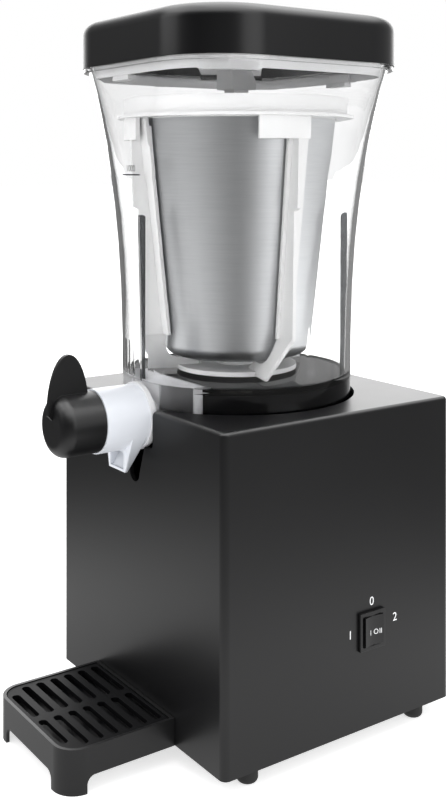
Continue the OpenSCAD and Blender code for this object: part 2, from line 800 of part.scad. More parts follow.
module switch_terminals() in_frame() color(steel) on_switch(-switch_body_l - 7)
    for (u = [-5, 0, 5], v = [-5.5, 5.5]) translate([u, v, 0]) centred_box([0.8, 4.8, 7]);

// Rocker: shallow vee face, rocking to each side of its middle place
module rocker() in_frame() color(knob_black) on_switch(bezel_t - rocker_back) rotate([90, 0, 0]) {
    half = pocket_w / 2 - 1;
    translate([0, 0, -rocker_h / 2]) linear_extrude(rocker_h)
        polygon([[-half, 4.3], [0, 2.9], [half, 4.3], [half - 1.2, -4], [-half + 1.2, -4]]);
    translate([0, 0, -pocket_h / 2 - 0.8]) cylinder(r = rocker_pin_r, h = pocket_h + 1.6);
}

// Low-voltage inlet on the rear face
inlet_r = 5.5;
inlet_l = 13;

module on_inlet(inward = 0) {
    translate([inlet_x, base_d / 2 - inward, inlet_z]) rotate([90, 0, 0]) children();
}

module dc_inlet() in_frame() color(seat_black) {
    difference() {
        union() {
            on_inlet(-inlet_flange_t) cylinder(r = inlet_r + 2, h = inlet_flange_t);
            on_inlet(-cut) cylinder(r = inlet_r, h = inlet_l + cut);
        }
        on_inlet(-inlet_flange_t - cut) cylinder(r = 3.2, h = inlet_l - 2);
    }
    on_inlet(-inlet_flange_t + 0.5) cylinder(r = 1, h = inlet_l - 2);
}

module dc_inlet_nut() in_frame() color(steel) on_inlet(base_wall) difference() {
    hexagon(15, 3);
    translate([0, 0, -cut]) cylinder(r = inlet_r, h = 3 + 2 * cut);
}

// Bowl: round at the foot, drawn out to a square mouth
function morph(z) = let (u = max(0, (z - morph_z) / (rim_z - rim_t - morph_z))) 0.3 * u ^ 2 + 0.7 * u ^ 3;
function bowl_half(z) = bowl_r + (mouth_half - bowl_r) * morph(z);
function bowl_corner(z) = bowl_r - ring_flat + (mouth_r - bowl_r + ring_flat) * morph(z);
function bowl_ring(z, inset = 0) = round_square(bowl_half(z) - inset, bowl_corner(z) - inset, z);

module bowl_shell() {
    wall_steps = [0, 0.16, 0.32, 0.46, 0.58, 0.69, 0.79, 0.87, 0.94, 1];
    under_rim_z = rim_z - rim_t;
    floor_fillet = 2;
    outer = [for (s = wall_steps) bowl_ring(morph_z + s * (under_rim_z - morph_z))];
    low = floor_z + floor_fillet;
    inner = [for (s = [1, 0.93, 0.84, 0.75, 0.64, 0.52, 0.4, 0.26, 0.12, 0])
        bowl_ring(low + s * (rim_z - low), bowl_wall)];
    skin(concat(
        [round_ring(bowl_r, skirt_z)],
        outer,
        [round_square(mouth_half + rim_out, mouth_r + rim_out, under_rim_z),
            round_square(mouth_half + rim_out, mouth_r + rim_out, rim_z)],
        inner,
        [round_ring(bowl_r - bowl_wall - 0.3 * floor_fillet, floor_z + 0.3 * floor_fillet),
            round_ring(bowl_r - bowl_wall - floor_fillet, floor_z),
            round_ring(floor_hole_r, floor_z),
            round_ring(floor_hole_r, floor_under_z),
            round_ring(bowl_r - skirt_wall, floor_under_z),
            round_ring(bowl_r - skirt_wall, skirt_z)]), looped = true);
}

// Fin on the inside of the wall, with a rounded top
module bowl_fin(angle) {
    inner_r = bowl_r - bowl_wall - fin_reach;
    on_axis() rotate([0, 0, angle]) translate([inner_r, fin_t / 2, 0]) rotate([90, 0, 0]) linear_extrude(fin_t) {
        translate([0, floor_z - cut]) square([fin_reach + 1.5, fin_h - fin_reach + cut]);
        intersection() {
            translate([fin_reach, floor_z + fin_h - fin_reach]) circle(fin_reach);
            translate([0, floor_z + fin_h - fin_reach - cut]) square([fin_reach + 1.5, fin_reach + cut]);
        }
    }
}

module bowl() in_frame() color(clear_plastic) difference() {
    union() {
        on_axis() bowl_shell();
        on_axis(floor_under_z + 0.3) cylinder(r = floor_hole_r + 4, h = bowl_wall - 0.6);
        on_axis(floor_under_z) cylinder(r = boss_r, h = boss_z - floor_under_z);
        for (angle = [-90, 50, 130]) bowl_fin(angle);
        intersection() {
            on_axis(skirt_z) cylinder(r = bowl_r - 1, h = base_h);
            translate([-sump_half, axis_y - bowl_r, skirt_z])
                cube([2 * sump_half, bowl_r - sump_back, floor_under_z + 1 - skirt_z]);
        }
        on_tap(-socket_l) cylinder(r = socket_r + socket_wall, h = socket_l);
        on_tap() translate([0, 0, -3]) cylinder(r = collar_r, h = 3);
    }
    intersection() {
        on_axis(skirt_z) cylinder(r = bowl_r - skirt_wall - bowl_wall, h = base_h);
        translate([-sump_half + bowl_wall, axis_y - bowl_r, skirt_z + bowl_wall])
            cube([2 * (sump_half - bowl_wall), bowl_r - sump_back - bowl_wall, base_h]);
    }
    on_tap(-socket_l + socket_wall) cylinder(r = socket_r, h = socket_l);
    on_axis(floor_under_z - cut) cylinder(r = bush_r, h = boss_z - floor_under_z + 2 * cut);
}

module spindle_bush() in_frame() color(gear_white)
    on_axis(floor_under_z) sleeve(bush_r, shaft_r + run_gap, boss_z - seal_t - floor_under_z);

module spindle_seal() in_frame() color(rubber_black)
    on_axis(boss_z - seal_t) sleeve(bush_r, shaft_r + run_gap, seal_t);

// Tap body: barrel with a spigot behind and a leaning spout below
spigot_l = 12;
spigot_r = socket_r - run_gap;
barrel_back_t = 3;
oring_r = 0.8;
groove_depth = 2 * oring_r + run_gap;
tap_oring_back = 7;
throat_start = barrel_back_t + weld;

// Chute below the barrel: its sides run off the barrel and its mouth faces forward
module spout_outside() {
    $fn = hull_fn;
    start = 1;
    lip_l = 2;
    hull() {
        translate([0, 0, start]) cylinder(r = barrel_r - weld, h = spout_reach - lip_l - start);
        translate([-spout_half, -spout_drop, spout_reach - lip_l]) cube([2 * spout_half, spout_side_h, lip_l]);
    }
}

module spout_inside() {
    half = spout_half - spout_wall;
    lip_y = -spout_drop + spout_wall;
    side_y = -spout_drop + spout_side_h - spout_wall;
    throat_l = spout_reach - spout_wall - throat_start;
    hull() {
        translate([-half, -plug_r - spout_wall, throat_start]) cube([2 * half, 2 * spout_wall, throat_l]);
        translate([0, 0, spout_reach - spout_wall]) linear_extrude(spout_wall + cut)
            polygon(concat([[-half, lip_y], [half, lip_y]],
                [for (a = [0:15:180]) [half * cos(a), side_y + spout_arch * sin(a)]]));
    }
}

module tap_body() in_frame() color(tap_white) on_tap() difference() {
    union() {
        cylinder(r = barrel_r, h = barrel_l);
        translate([0, 0, -spigot_l]) cylinder(r = spigot_r, h = spigot_l + cut);
        spout_outside();
    }
    translate([0, 0, barrel_back_t]) cylinder(r = plug_r + run_gap, h = barrel_l);
    translate([0, 0, -spigot_l - cut]) cylinder(r = spigot_r - 3, h = spigot_l + barrel_back_t + 2 * cut);
    translate([0, 0, -tap_oring_back - oring_r]) difference() {
        cylinder(r = spigot_r + cut, h = 2 * oring_r);
        cylinder(r = spigot_r - groove_depth, h = 2 * oring_r);
    }
    spout_inside();
}

module oring(r) {
    rotate_extrude() translate([r - oring_r, 0]) circle(oring_r);
}

module tap_oring() in_frame() color(rubber_black) on_tap(-tap_oring_back) oring(spigot_r);

// Turning plug: a cup open towards the bowl, with one port in its side
plug_front_t = 3;
plug_wall = 3.5;
plug_start = barrel_back_t + face_gap;
plug_l = barrel_l - plug_start - 2.5;
plug_port_r = 7.5;
stem_r = 6;
stem_l = 12;
plug_oring_at = plug_start + plug_l - 5;

module tap_plug() in_frame() color("#2a2a2c") on_tap() difference() {
    union() {
        translate([0, 0, plug_start]) cylinder(r = plug_r, h = plug_l);
        translate([0, 0, plug_start + plug_l - cut]) cylinder(r = stem_r, h = stem_l + cut);
    }
    translate([0, 0, plug_start - cut]) cylinder(r = plug_r - plug_wall, h = plug_l - plug_front_t + cut);
    translate([0, 0, plug_start + plug_port_r + 1.5]) rotate([0, 90, 0]) cylinder(r = plug_port_r, h = 2 * plug_r);
    translate([0, 0, plug_oring_at - oring_r]) difference() {
        cylinder(r = plug_r + cut, h = 2 * oring_r);
        cylinder(r = plug_r - groove_depth, h = 2 * oring_r);
    }
}

module plug_oring() in_frame() color(rubber_black) on_tap(plug_oring_at) oring(plug_r);

module knob_fin_outline() {
    foot_up = 7.5;
    middle = knob_l - 11.2;
    polygon(concat(
        [for (a = [0:7.5:180]) [middle + knob_fin_half * cos(a), foot_up + (knob_fin_h - foot_up) * sin(a)]],
        [[middle - knob_fin_half + 6, 0], [knob_l - 4, 0]]));
}

module tap_knob() in_frame() color(knob_black) on_tap(barrel_l + face_gap) difference() {
    union() {
        rotate_extrude() {
            square([knob_r, knob_l - knob_round]);
            square([knob_r - knob_round, knob_l]);
            translate([knob_r - knob_round, knob_l - knob_round]) circle(knob_round);
        }
        translate([arm_t * 0.6, 0, 0]) rotate([0, -90, 0]) linear_extrude(arm_t * 1.2) knob_fin_outline();
    }
    translate([0, 0, -cut]) cylinder(r = stem_r, h = plug_start + plug_l + stem_l - barrel_l - face_gap + cut);
}

// Cold core: a tapered can closed by a cap with a square socket
core_shoulder_z = core_z + core_round;
function core_r(z) = core_foot_r + (core_top_r - core_foot_r) * (z - core_shoulder_z) / (core_top_z - core_shoulder_z);

module core_solid(inset) {
    foot = core_foot_r - inset;
    round_r = core_round - inset;
    rotate_extrude() {
        polygon([[0, core_shoulder_z], [foot, core_shoulder_z], [core_top_r - inset, core_top_z], [0, core_top_z]]);
        translate([0, core_z + inset]) square([foot - round_r, round_r + cut]);
        translate([foot - round_r, core_shoulder_z]) intersection() {
            circle(round_r);
            translate([0, -round_r]) square([round_r, round_r]);
        }
    }
}

cap_drop = 6;

module core_can() in_frame() color(core_metal) on_axis() difference() {
    core_solid(0);
    core_solid(core_wall);
    translate([0, 0, core_top_z - cap_drop]) cylinder(r = core_top_r - core_wall - 1, h = cap_drop + cut);
}

module core_cap() in_frame() color(milky_white) on_axis() difference() {
    union() {
        translate([0, 0, core_top_z]) cylinder(r = core_top_r, h = 4);
        translate([0, 0, core_top_z - cap_drop]) cylinder(r = core_top_r - core_wall - 1, h = cap_drop + cut);
        translate([0, 0, core_top_z]) cylinder(r = peg_w, h = post_z - 3 - core_top_z);
    }
    translate([0, 0, cap_socket_z]) centred_box([peg_w + 1, peg_w + 1, post_z]);
}

// Scraper: top ring with an apron over each arm, arms that follow the core's taper, sweep blades and hub
arm_lift = 6;
arm_z = core_shoulder_z + arm_lift;
apron_h = 14.5;
apron_lead = 24;
apron_tail = 3.5;
wing_turn = -3;
fin_top_z = floor_z + fin_h;
fin_room = 1.4;
wing_low_r = bowl_r - bowl_wall - fin_reach - fin_room;
wing_mid_r = bowl_r - bowl_wall - 0.9;
wing_top_r = ring_out_r - 0.5;
blade_turn = -16;
blade_root = 18;
blade_in_r = hub_r - blade_root;
blade_l = 36;

module arm_strip() {
    low_r = core_r(arm_z) + core_gap;
    top_r = core_r(flange_z) + core_gap;
    rotate([0, 0, -arm_sweep / 2]) rotate_extrude(angle = arm_sweep)
        polygon([[low_r, arm_z], [low_r + arm_t, arm_z], [top_r + arm_t, flange_z + cut], [top_r, flange_z + cut]]);
}

module arm_apron() {
    rotate([0, 0, -apron_lead]) rotate_extrude(angle = apron_lead + apron_tail)
        translate([ring_in_r + weld, flange_z - apron_h]) square([ring_t - 2 * weld, apron_h + weld]);
}

// Wing: stands out from the strip, cut back where it passes the bowl's fins
module arm_wing() {
    root = core_gap + arm_t / 2;
    step_z = fin_top_z + 3;
    rotate([0, 0, wing_turn]) translate([0, arm_t / 2, 0]) rotate([90, 0, 0]) linear_extrude(arm_t)
        polygon([[core_r(arm_z) + root, arm_z], [wing_low_r - 1.5, arm_z], [wing_low_r, step_z],
            [wing_mid_r, step_z + 2], [wing_top_r, flange_z - apron_h], [wing_top_r, flange_z + cut],
            [core_r(flange_z) + root, flange_z + cut]]);
}

// Sweep blade: leans down from the foot of an arm to the floor and in to the hub
module sweep_blade() {
    $fn = hull_fn;
    blade_t = arm_t - 2 * weld;
    blade_top_r = core_r(arm_z) + core_gap + weld;
    hull() {
        rotate([0, 0, wing_turn]) translate([blade_top_r, -blade_t / 2, arm_z - weld])
            cube([wing_low_r - 2 - blade_top_r, blade_t, arm_t]);
        rotate([0, 0, blade_turn]) translate([blade_in_r, -blade_t / 2, hub_z + weld])
            cube([blade_l, blade_t, arm_t / 2]);
    }
}

module scraper_frame() in_frame() color(milky_white) on_axis() difference() {
    union() {
        rotate_extrude() {
            translate([ring_in_r, flange_z]) square([ring_out_r - ring_in_r, flange_t + ring_h]);
            translate([core_top_r + core_gap, flange_z]) square([flange_r - core_top_r - core_gap, flange_t]);
        }
        for (turn = [0, second_arm, third_arm]) rotate([0, 0, arm_phase + turn]) {
            arm_strip();
            arm_apron();
            arm_wing();
            difference() {
                sweep_blade();
                core_solid(-core_gap - 2 * weld);
            }
        }
        translate([0, 0, hub_z]) cylinder(r = hub_r, h = hub_t);
        translate([0, 0, hub_z]) cylinder(r = boss_r + 3, h = hub_boss_z - hub_z);
    }
    translate([0, 0, hub_z - cut]) cylinder(r = boss_r + 1, h = boss_z + 0.6 - hub_z + cut);
    translate([0, 0, hub_z]) centred_box([drive_square, drive_square, base_h]);
}

module spindle() in_frame() color(steel) on_axis() union() {
    translate([0, 0, dog_socket_z]) cylinder(r = shaft_r, h = boss_z + 0.4 - dog_socket_z);
    translate([0, 0, boss_z]) centred_box([drive_square, drive_square, hub_boss_z - boss_z - 0.8]);
}

module spindle_dog() in_frame() color(seat_black) on_axis() difference() {
    translate([0, 0, spindle_dog_z]) cylinder(r = spindle_dog_r, h = spindle_dog_top - spindle_dog_z);
    translate([0, 0, spindle_dog_z - cut]) hexagon(dog_flat + 2 * dog_gap, dog_socket_z - spindle_dog_z + cut);
    translate([0, 0, dog_socket_z - cut]) cylinder(r = shaft_r, h = base_h);
}

// Lid: moulded cover with a rolled top edge
module lid_cover() in_frame() color(knob_black) on_axis() {
    top_z = lid_z + lid_h;
    arc = [0:15:90];
    inner_half = lid_half - lid_wall;
    inner_r = lid_r - lid_wall;
    skin(concat(
        [round_square(inner_half - lid_round, inner_r - lid_round, top_z - lid_wall),
            round_square(inner_half, inner_r, top_z - lid_wall - lid_round),
            round_square(inner_half, inner_r, lid_z),
            round_square(lid_half, lid_r, lid_z)],
        [for (a = arc)
            let (inset = lid_round * (1 - cos(a)))
            round_square(lid_half - inset, lid_r - inset, top_z - lid_round + lid_round * sin(a))]));
}

// Liner: clear hat inside the cover, with a plug rim, the square post with its peg and two hooks
liner_room = 0.4;
liner_half = lid_half - lid_wall - liner_room;
liner_r = lid_r - lid_wall - liner_room;
plug_room = 1;
plug_half = mouth_half - bowl_wall - plug_room;
plug_corner = mouth_r - bowl_wall - plug_room;
plug_rim_h = 7;
plug_draft = 1;
rim_wall = 2;
hat_z = lid_z + lid_h - lid_wall - liner_t - liner_room;
hat_inset = lid_wall + lid_round + 1;
hat_half = lid_half - hat_inset;
hat_corner = lid_r - hat_inset;
post_wall = 2.5;
hook_h = 10;
hook_w = 20;
hook_t = 3;
hook_shift = 15;

module liner_hat() {
    inner_half = plug_half - rim_wall;
    inner_corner = plug_corner - rim_wall;
    skin([round_square(hat_half - rim_wall, hat_corner - rim_wall, hat_z),
        round_square(inner_half, inner_corner, liner_z),
        round_square(inner_half - plug_draft, inner_corner - plug_draft, liner_z - plug_rim_h),
        round_square(plug_half - plug_draft, plug_corner - plug_draft, liner_z - plug_rim_h),
        round_square(plug_half, plug_corner, liner_z),
        round_square(liner_half, liner_r, liner_z),
        round_square(liner_half, liner_r, liner_z + liner_t),
        round_square(plug_half, plug_corner, liner_z + liner_t),
        round_square(hat_half, hat_corner, hat_z + liner_t)]);
}

// Hook: hangs from the plug rim, with its toe turned inward
module liner_hook() {
    translate([plug_half - rim_wall - hook_t / 2, -hook_shift, liner_z - hook_h]) {
        centred_box([hook_t, hook_w, hook_h - 1]);
        translate([-hook_t / 2, 0, 0]) centred_box([2 * hook_t, hook_w, hook_t]);
    }
}

module lid_liner() in_frame() color(clear_plastic) on_axis() {
    post_hollow = post_w - 2 * post_wall;
    difference() {
        union() {
            liner_hat();
            translate([0, 0, post_z]) centred_box([post_w, post_w, hat_z - post_z + cut]);
        }
        translate([0, 0, post_z + post_wall]) centred_box([post_hollow, post_hollow, hat_z - post_z + liner_t]);
    }
    translate([0, 0, peg_z]) centred_box([peg_w, peg_w, post_z - peg_z + cut]);
    for (a = [90, 270]) rotate([0, 0, a]) liner_hook();
}

// Drip tray: shell with front legs, a ledge for the grille and two tongues into the base
tray_back_y = front_y - face_gap;
tray_front_y = tray_back_y - tray_l;
tray_floor_z = 4;
tray_floor_t = 2;
ledge_w = 2.5;
grille_gap = face_gap + 0.2;
grille_z = tray_h - 0.5 - grille_t;
slot_start = 3;
slot_end = 6;
front_slot_end = 13;

module tray_outline(inset) {
    r = tray_r - inset;
    half = tray_half - inset;
    translate([-half, tray_front_y + tray_r]) square([2 * half, tray_l - tray_r - inset]);
    translate([-half + r, tray_front_y + inset]) square([2 * (half - r), tray_l - 2 * inset]);
    for (side = [-1, 1]) translate([side * (half - r), tray_front_y + tray_r]) circle(r);
}

// Openings between the legs, with rounded upper corners
module leg_arch(width, h) {
    translate([-width / 2, -h - cut]) square([width, h - leg_r + cut]);
    translate([-width / 2 + leg_r, -h - cut]) square([width - 2 * leg_r, h + cut]);
    for (side = [-1, 1]) translate([side * (width / 2 - leg_r), -leg_r]) circle(leg_r);
}

module drip_tray() in_frame() color(housing_black) {
    difference() {
        translate([0, 0, -foot_h]) linear_extrude(tray_h + foot_h) tray_outline(0);
        translate([0, 0, tray_floor_z + tray_floor_t]) linear_extrude(tray_h) tray_outline(tray_wall + ledge_w);
        translate([0, 0, grille_z - 0.2]) linear_extrude(tray_h) tray_outline(tray_wall);
        translate([0, 0, -foot_h - cut]) linear_extrude(foot_h + tray_floor_z + cut) tray_outline(tray_wall);
        translate([0, tray_back_y + cut, 0]) rotate([90, 0, 0]) linear_extrude(tray_l + 2 * cut)
            leg_arch(2 * (tray_half - leg_w), foot_h);
        translate([-tray_half - cut, tray_front_y + leg_d + tray_l / 2, 0]) rotate([90, 0, 90])
            linear_extrude(2 * tray_half + 2 * cut) leg_arch(tray_l, foot_h);
    }
    tray_tongues();
}

// Grille: two columns of round-ended slots, the front row shorter
module grille_slot(x0, x1) {
    r = slot_w / 2;
    translate([x0 + r, -r]) square([x1 - x0 - slot_w, slot_w]);
    for (x = [x0 + r, x1 - r]) translate([x, 0]) circle(r);
}

module drip_grille() in_frame() color(seat_black) translate([0, 0, grille_z]) linear_extrude(grille_t) difference() {
    tray_outline(tray_wall + grille_gap);
    middle_y = (tray_front_y + tray_back_y) / 2;
    for (row = [0:slot_rows - 1], side = [0, 1]) {
        end = tray_half - (row == 0 ? front_slot_end : slot_end);
        translate([0, middle_y + slot_pitch * (row - (slot_rows - 1) / 2)]) mirror([side, 0])
            grille_slot(slot_start, end);
    }
}

base_housing();
base_plate();
feet();
plate_screws();
bowl_seat();
seat_screws();
gearbox_case();
gearbox_cover();
gearbox_screws();
output_bushes();
idler_axle();
motor_can();
motor_magnets();
motor_end_cap();
motor_screws();
switch_frame();
switch_terminals();
dc_inlet();
dc_inlet_nut();
rocker();
output_gear();
output_shaft();
drive_dog();
idler_gear();
motor_shaft();
motor_armature();
motor_pinion();
bowl();
spindle_bush();
spindle_seal();
tap_body();
tap_oring();
core_can();
core_cap();
scraper_frame();
spindle();
spindle_dog();
tap_plug();
tap_knob();
plug_oring();
lid_cover();
lid_liner();
drip_tray();
drip_grille();
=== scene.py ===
import math

import bpy
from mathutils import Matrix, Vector


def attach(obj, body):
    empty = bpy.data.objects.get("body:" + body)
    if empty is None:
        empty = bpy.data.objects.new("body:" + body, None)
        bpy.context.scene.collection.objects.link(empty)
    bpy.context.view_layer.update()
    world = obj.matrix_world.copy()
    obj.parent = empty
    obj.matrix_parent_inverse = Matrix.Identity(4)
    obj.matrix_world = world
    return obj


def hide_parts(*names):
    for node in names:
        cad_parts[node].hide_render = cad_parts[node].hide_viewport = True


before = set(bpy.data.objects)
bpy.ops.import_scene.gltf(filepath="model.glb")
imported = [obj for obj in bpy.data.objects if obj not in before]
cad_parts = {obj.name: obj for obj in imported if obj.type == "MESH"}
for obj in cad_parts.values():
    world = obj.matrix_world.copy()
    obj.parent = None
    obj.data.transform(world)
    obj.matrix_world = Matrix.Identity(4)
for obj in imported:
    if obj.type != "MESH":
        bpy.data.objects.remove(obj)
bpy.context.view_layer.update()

# Studio: a white sweep with soft lamps, seen from a little above the tap and from the switch side.
# The camera is level, and its shift keeps the upright edges of the base parallel.
scene = bpy.context.scene
scene.view_settings.view_transform = "Standard"
photo_height = 800
camera_turn = math.radians(54.881)
camera_place = Vector((0.61277, -0.41606, 0.36184))
focal_pixels = 1097.03
horizon_row = 168.7
film_side = 36.0

camera_data = bpy.data.cameras.new("studio_camera")
camera_data.sensor_width = film_side
camera_data.lens = focal_pixels * film_side / photo_height
camera_data.shift_y = -(photo_height / 2 - horizon_row) / photo_height
camera_data.clip_end = 50
camera = bpy.data.objects.new("studio_camera", camera_data)
camera.location = camera_place
camera.rotation_euler = (math.radians(90), 0, camera_turn)
scene.collection.objects.link(camera)
scene.camera = camera


class Value:
    """A shader value that takes part in sums and products."""

    def __init__(self, finish, out):
        self.finish = finish
        self.out = out

    def sum_node(self, operation, first, second):
        return self.finish.node("ShaderNodeMath", {"operation": operation}, {0: first, 1: second})

    def __add__(self, other):
        return self.sum_node("ADD", self, other)

    def __sub__(self, other):
        return self.sum_node("SUBTRACT", self, other)

    def __rsub__(self, other):
        return self.sum_node("SUBTRACT", other, self)

    def __mul__(self, other):
        return self.sum_node("MULTIPLY", self, other)

    def clamp(self):
        return self.finish.node("ShaderNodeClamp", {}, {"Value": self})

    __radd__ = __add__
    __rmul__ = __mul__


class Finish:
    """A node tree in the making: node() adds a node, feed() sets or links a socket."""

    def __init__(self, tree):
        self.tree = tree

    def feed(self, socket, value):
        if isinstance(value, Value):
            self.tree.links.new(value.out, socket)
        else:
            socket.default_value = value

    def node(self, kind, settings, sockets, output=0):
        made = self.tree.nodes.new(kind)
        for key, value in settings.items():
            setattr(made, key, value)
        for key, value in sockets.items():
            self.feed(made.inputs[key], value)
        return Value(self, made.outputs[output])

    def mix(self, factor, first, second):
        return self.node("ShaderNodeMix", {"data_type": "RGBA"}, {0: factor, 6: first, 7: second}, 2)

    def mirrored(self):
        return self.node("ShaderNodeLightPath", {}, {}, "Glossy Depth").clamp()

    def scattered(self):
        return self.node("ShaderNodeLightPath", {}, {}, "Diffuse Depth").clamp()

    def through_clear(self):
        one_wall = 2.0
        return (self.node("ShaderNodeLightPath", {}, {}, "Transmission Depth") - one_wall).clamp()


# The sweep is dark behind the camera and bright behind the machine, so black faces show their shape.
# What the clear bowl and the metal core mirror is bright on the switch side and dim in front.
class Surroundings:
    """How bright the studio looks along a direction to glossy faces, in the open and inside the bowl."""

    def __init__(self, finish, direction):
        def along(x, y):
            return finish.node("ShaderNodeVectorMath", {"operation": "DOT_PRODUCT"},
                               {0: direction, 1: (x, y, 0.0)}, "Value")

        lens_side = along(math.sin(camera_turn), -math.cos(camera_turn))
        switch_side = along(math.cos(camera_turn), math.sin(camera_turn))
        dark_from, dark_slope = 0.35, 2.2
        self.dark = ((lens_side - dark_from) * dark_slope).clamp()
        bright_from, bright_slope = -0.72, 4.5
        self.bright = ((bright_from - lens_side) * bright_slope).clamp()
        left_slope, left_from = -1.3, 0.1
        self.left = (switch_side * left_slope - left_from).clamp()
        behind_slope = -1.2
        behind = (lens_side * behind_slope).clamp()
        right_from, right_slope = 0.3, 1.8
        right = ((switch_side - right_from) * right_slope).clamp()
        front_level, left_level, right_level, behind_level, corner_shade = 0.1, 0.55, 1.1, 0.4, 0.5
        self.inside = (front_level + self.left * left_level + right * right_level
                       + behind * behind_level - behind * right * corner_shade)


world = bpy.data.worlds.new("studio_world")
scene.world = world
world.use_nodes = True
sky = Finish(world.node_tree)
sky_mirrored = sky.mirrored()
sky_inside = sky.through_clear()
direction = sky.node("ShaderNodeTexCoord", {}, {}, "Generated")
upward = sky.node("ShaderNodeSeparateXYZ", {}, {0: direction}, "Z")
top_from, top_slope = 0.5, 4.0
top_glow = ((upward - top_from) * top_slope).clamp()
around = Surroundings(sky, direction)
plain_gloss, lens_shade, left_shade, sweep_glow, ceiling_glow = 0.32, 0.27, 0.16, 2.6, 3.3
open_gloss = (plain_gloss - around.dark * lens_shade - around.left * left_shade
              + around.bright * sweep_glow + top_glow * ceiling_glow)
gloss_level = open_gloss + sky_inside * (around.inside - open_gloss)
seen_lift, matt_lift, left_lift = 0.1, 0.5, 1.5
matt_level = 1.0 + sky_inside * (seen_lift + sky.scattered() * (matt_lift + around.left * left_lift))
sky_level = sky_mirrored * gloss_level + (1.0 - sky_mirrored) * matt_level
background = world.node_tree.nodes["Background"]
background.inputs["Color"].default_value = (1.0, 1.0, 1.0, 1.0)
sky.feed(background.inputs["Strength"], sky_level)


def softbox(name, place, aim, size, power):
    data = bpy.data.lights.new(name, "AREA")
    data.shape = "RECTANGLE"
    data.size, data.size_y = size
    data.energy = power
    lamp = bpy.data.objects.new(name, data)
    lamp.location = place
    lamp.rotation_euler = (Vector(aim) - Vector(place)).to_track_quat("-Z", "Y").to_euler()
    scene.collection.objects.link(lamp)


machine_middle = (0.0, 0.0, 0.25)
softbox("key_lamp", (-0.7, -1.3, 1.1), machine_middle, (1.0, 1.2), 5.5)
softbox("side_lamp", (1.5, 0.3, 0.8), machine_middle, (0.9, 1.2), 5.0)
softbox("top_lamp", (0.1, 0.2, 1.7), machine_middle, (1.2, 1.2), 8.0)

bpy.ops.object.select_all(action="DESELECT")
bpy.ops.mesh.primitive_plane_add(size=40.0, location=(0.0, 0.0, 0.0))
floor = bpy.context.object
floor.name = "studio_floor"
floor_material = bpy.data.materials.new("studio_floor")
floor_material.use_nodes = True
paper = Finish(floor_material.node_tree)
paper_mirrored = paper.mirrored()
paper_scattered = paper.scattered()
paper_direct = (1.0 - paper_mirrored) * (1.0 - paper_scattered)
paper_bounce = (1.0 - paper_mirrored) * paper_scattered
paper_place = paper.node("ShaderNodeTexCoord", {}, {}, "Object")
paper_reach = paper.node("ShaderNodeVectorMath", {"operation": "LENGTH"}, {0: paper_place}, "Value")
near_from, near_slope = 0.25, 2.9
paper_near = (1.0 - (paper_reach - near_from) * near_slope).clamp()
under_to, under_slope = 0.3, 4.0
paper_under = ((under_to - paper_reach) * under_slope).clamp()
paper_direction = paper.node("ShaderNodeVectorMath", {"operation": "NORMALIZE"}, {0: paper_place})
paper_around = Surroundings(paper, paper_direction)
far_gloss, left_loss, near_gain, under_loss = 0.22, 0.16, 0.95, 0.5
paper_open = far_gloss - paper_around.left * left_loss + paper_near * near_gain - paper_under * under_loss
close_to, close_slope = 2.2, 0.7
paper_close = ((close_to - paper_reach) * close_slope).clamp()
far_share, close_share, close_lift = 0.5, 0.9, 0.13
paper_inside = paper_around.inside * (far_share + paper_close * close_share) + paper_close * close_lift
paper_gloss = paper_open + paper.through_clear() * (paper_inside - paper_open)
paper_shader = floor_material.node_tree.nodes["Principled BSDF"]
paper_shader.inputs["Roughness"].default_value = 1.0
paper_shader.inputs["Specular IOR Level"].default_value = 0.0
paper_shader.inputs["Emission Color"].default_value = (1.0, 1.0, 1.0, 1.0)
paper.feed(paper_shader.inputs["Base Color"],
           paper.mix(paper_mirrored, (0.8, 0.8, 0.8, 1.0), (0.02, 0.02, 0.02, 1.0)))
direct_level, bounce_level = 0.66, 0.6
paper.feed(paper_shader.inputs["Emission Strength"],
           paper_direct * direct_level + paper_bounce * bounce_level + paper_mirrored * paper_gloss)
floor.data.materials.append(floor_material)


# Base housing: one injection moulding in satin black, open below, with a round well and a tap notch.
# Its edges are softly rounded by the tool, and its faces carry a very fine spark-eroded grain.
def new_finish(name, **fixed):
    material = bpy.data.materials.new(name)
    material.use_nodes = True
    finish = Finish(material.node_tree)
    finish.material = material
    finish.shader = material.node_tree.nodes["Principled BSDF"]
    finish.place = finish.node("ShaderNodeTexCoord", {}, {}, "Object")
    for key, value in fixed.items():
        finish.shader.inputs[key.replace("_", " ")].default_value = value
    return finish


def grain(finish, scale, detail=3.0, stretch=None):
    place = finish.place
    if stretch:
        place = finish.node("ShaderNodeMapping", {}, {"Vector": place, "Scale": stretch})
    return finish.node("ShaderNodeTexNoise", {}, {"Vector": place, "Scale": scale, "Detail": detail})


def bump(finish, height, depth):
    made = finish.node("ShaderNodeBump", {}, {"Height": height, "Distance": depth, "Strength": 1.0})
    finish.feed(finish.shader.inputs["Normal"], made)


def moulded_plastic(name, colour, roughness, grain_depth, **fixed):
    cloud_scale, speck_scale, speck_detail = 14.0, 1400.0, 2.0
    tone_down, tone_up = 0.86, 1.12
    smoothest, cloud_matt, speck_matt = roughness - 0.05, 0.06, 0.04
    finish = new_finish(name, **fixed)
    cloud = grain(finish, cloud_scale)
    speck = grain(finish, speck_scale, speck_detail)
    darker = tuple(c * tone_down for c in colour) + (1.0,)
    lighter = tuple(min(1.0, c * tone_up) for c in colour) + (1.0,)
    finish.feed(finish.shader.inputs["Base Color"], finish.mix(cloud, darker, lighter))
    finish.feed(finish.shader.inputs["Roughness"], smoothest + cloud * cloud_matt + speck * speck_matt)
    bump(finish, speck, grain_depth)
    return finish.material


def dress(node, material):
    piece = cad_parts[node]
    piece.data.materials.clear()
    piece.data.materials.append(material)


